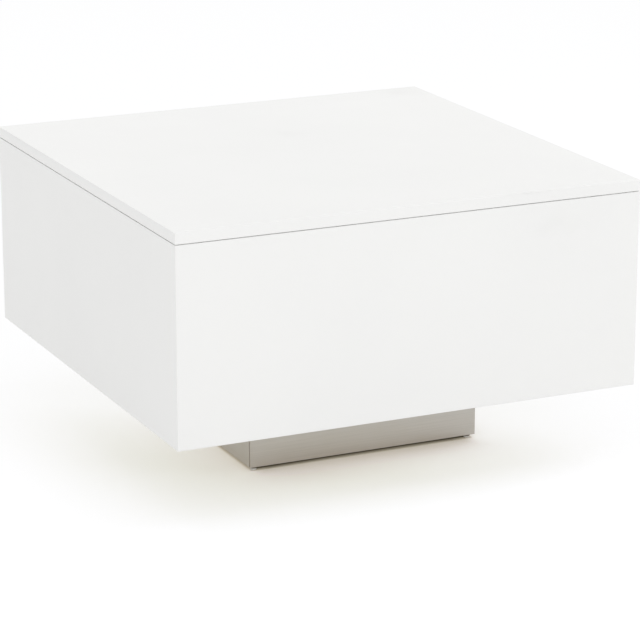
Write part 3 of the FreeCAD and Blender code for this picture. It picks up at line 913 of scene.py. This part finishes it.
def shaded_floor(tree, open_share):
    """A glow of the floor's own, with the light of the room on it."""
    glow_stops = [(0.0, GAP_SHADE), (0.11, GAP_EDGE), (0.7, CONTACT_SHADE), (1.0, FLOOR_GLOW)]
    lit_stops = [(0.07, GAP_LIT), (0.7, floor_lit)]
    glow = add_node(tree, "Emission", inputs={"Color": tones(tree, open_share, glow_stops)})
    lit = add_node(tree, "BsdfDiffuse", inputs={"Color": tones(tree, open_share, lit_stops)})
    return add_node(tree, "AddShader", inputs={0: glow.outputs[0], 1: lit.outputs[0]}).outputs[0]


print("lit share of the open floor", [round(v, 3) for v in floor_lit])

# %% Where the lamp washes the shade out
SHADE_WAY = (-0.55, -0.83, 0.0)
SHADE_LENGTH = 0.29
LEAST_SHADE = 0.2
WASHED_FROM = 0.6
WASHED_BLEND = 0.3


def washed_share(tree, open_share):
    """How far the floor is washed out to white: most on the lamp's side, not at all in the gap."""
    along = {"operation": "DOT_PRODUCT"}
    lean = add_node(tree, "VectorMath", along, {0: spot(tree), 1: SHADE_WAY}).outputs["Value"]
    lamp_side = fading(tree, lean, 1.0 - LEAST_SHADE, SHADE_LENGTH)
    return maths(tree, "MULTIPLY", lamp_side, reached(tree, open_share, WASHED_FROM, WASHED_BLEND))


print("full shade", SHADE_LENGTH, "metres from the middle, to the front left")

# %% The floor's finish
FLOOR_PLAIN = (0.80, 0.80, 0.80, 1.0)


def seen_directly(tree):
    """1 for rays from the camera, in a reflection or through glass, otherwise 0."""
    path = add_node(tree, "LightPath").outputs
    mirrored = maths(tree, "MAXIMUM", path["Is Glossy Ray"], path["Is Transmission Ray"])
    return maths(tree, "MAXIMUM", path["Is Camera Ray"], mirrored)


def choose(tree, share, first, second):
    """The first shader where the share is 0, and the second where it is 1."""
    return add_node(tree, "MixShader", inputs={0: share, 1: first, 2: second}).outputs[0]


def pale_floor():
    material, tree = empty_finish("pale_floor")
    open_share = openness(tree)
    shaded = shaded_floor(tree, open_share)
    washed = add_node(tree, "Emission", inputs={"Strength": BACKDROP_WHITE}).outputs[0]
    white = choose(tree, washed_share(tree, open_share), shaded, washed)
    plain = add_node(tree, "BsdfDiffuse", inputs={"Color": FLOOR_PLAIN}).outputs[0]
    upper = choose(tree, seen_directly(tree), plain, white)
    clear = add_node(tree, "BsdfTransparent").outputs[0]
    below = add_node(tree, "NewGeometry").outputs["Backfacing"]
    add_node(tree, "OutputMaterial", inputs={"Surface": choose(tree, below, upper, clear)})
    material.cycles.emission_sampling = "NONE"
    return material


floor_finish = pale_floor()
print(floor_finish.name, "has", len(floor_finish.node_tree.nodes), "nodes")

# %% Lay the floor
FLOOR_REACH = 40.0
FLOOR_CORNERS = ((-1, -1), (1, -1), (1, 1), (-1, 1))

floor_points = [(x * FLOOR_REACH, y * FLOOR_REACH, 0.0) for x, y in FLOOR_CORNERS]
floor_mesh = bpy.data.meshes.new("floor")
floor_mesh.from_pydata(floor_points, [], [(0, 1, 2, 3)])
floor_mesh.materials.append(floor_finish)
floor = put_in_scene("floor", floor_mesh)
print("floor", 2 * FLOOR_REACH, "metres wide")

# %% [markdown]
# ## Studio light
# A white studio is a soft glow from all round and a few large panels. The world gives the glow, and
# the camera and mirror-like rays see a plain white backdrop in its place. The panels lift the front
# and the top over the left side, which is the shaded one here. Small lamps would throw hard
# shadows. Large area lamps are soft, because a point at the edge of a shadow still sees a part of
# the panel.

# %% The glow of the room
WHITE = (1.0, 1.0, 1.0, 1.0)

world = bpy.data.worlds.new("white_room")
bpy.context.scene.world = world
world.use_nodes = True
room = world.node_tree
room.nodes.clear()
glow, backdrop = [
    add_node(room, "Background", inputs={"Color": WHITE, "Strength": strength}).outputs[0]
    for strength in (ROOM_GLOW, BACKDROP_WHITE)
]
shown = choose(room, seen_directly(room), glow, backdrop)
add_node(room, "OutputWorld", inputs={"Surface": shown})
print("room glow", ROOM_GLOW, "backdrop", BACKDROP_WHITE)

# %% The lamp panels
LAMP_SIZE = 2.0
LAMP_PANELS = {
    "right_lamp": {"at": (3.2, 0.0, 3.0), "watts": 29},
    "back_lamp": {"at": (0.0, 3.2, 3.0), "watts": 12},
    "front_lamp": {"at": (0.0, -4.0, 1.0), "watts": 27},
    "left_lamp": {"at": (-4.0, 0.0, 1.0), "watts": 13},
}
table_middle = (solid_low + solid_high) / 2

for name, panel in LAMP_PANELS.items():
    light = bpy.data.lights.new(name, "AREA")
    light.size = LAMP_SIZE
    light.energy = panel["watts"]
    lamp = put_in_scene(name, light)
    lamp.location = panel["at"]
    lamp.rotation_euler = (table_middle - lamp.location).to_track_quat("-Z", "Y").to_euler()
    lamp.visible_camera = False
    print(name, "at", panel["at"], "watts", panel["watts"])

# %% [markdown]
# ## Camera
# The view is from the front left and a little above, through a long lens, which keeps the box's
# edges nearly parallel. A shorter lens close by would frame the table too, but its edges would run
# together. A long lens needs distance: the camera stands almost five metres away.

# %% Place the camera
CAMERA_AT = (-1.9732, -4.293, 1.5588)
CAMERA_LENS = 164.54
CAMERA_SENSOR = 36.0
CAMERA_TURN = math.radians(24.94)
CAMERA_DIP = math.radians(16.38)
FARTHEST_SEEN = 200.0

camera_data = bpy.data.cameras.new("camera")
camera_data.lens = CAMERA_LENS
camera_data.sensor_width = CAMERA_SENSOR
camera_data.clip_end = FARTHEST_SEEN
camera = put_in_scene("camera", camera_data)
camera.location = CAMERA_AT
camera.rotation_euler = (math.pi / 2 - CAMERA_DIP, 0.0, -CAMERA_TURN)
bpy.context.scene.camera = camera
bpy.context.scene.view_settings.view_transform = "Standard"
print("camera", round((camera.location - table_middle).length, 2), "metres from the table")

# %% [markdown]
# ## Finish
# Dressing a piece must not make it larger, so the size before dressing is printed.

# %% Print the size before dressing
print("size before", [round(v, 4) for v in solid_high - solid_low])
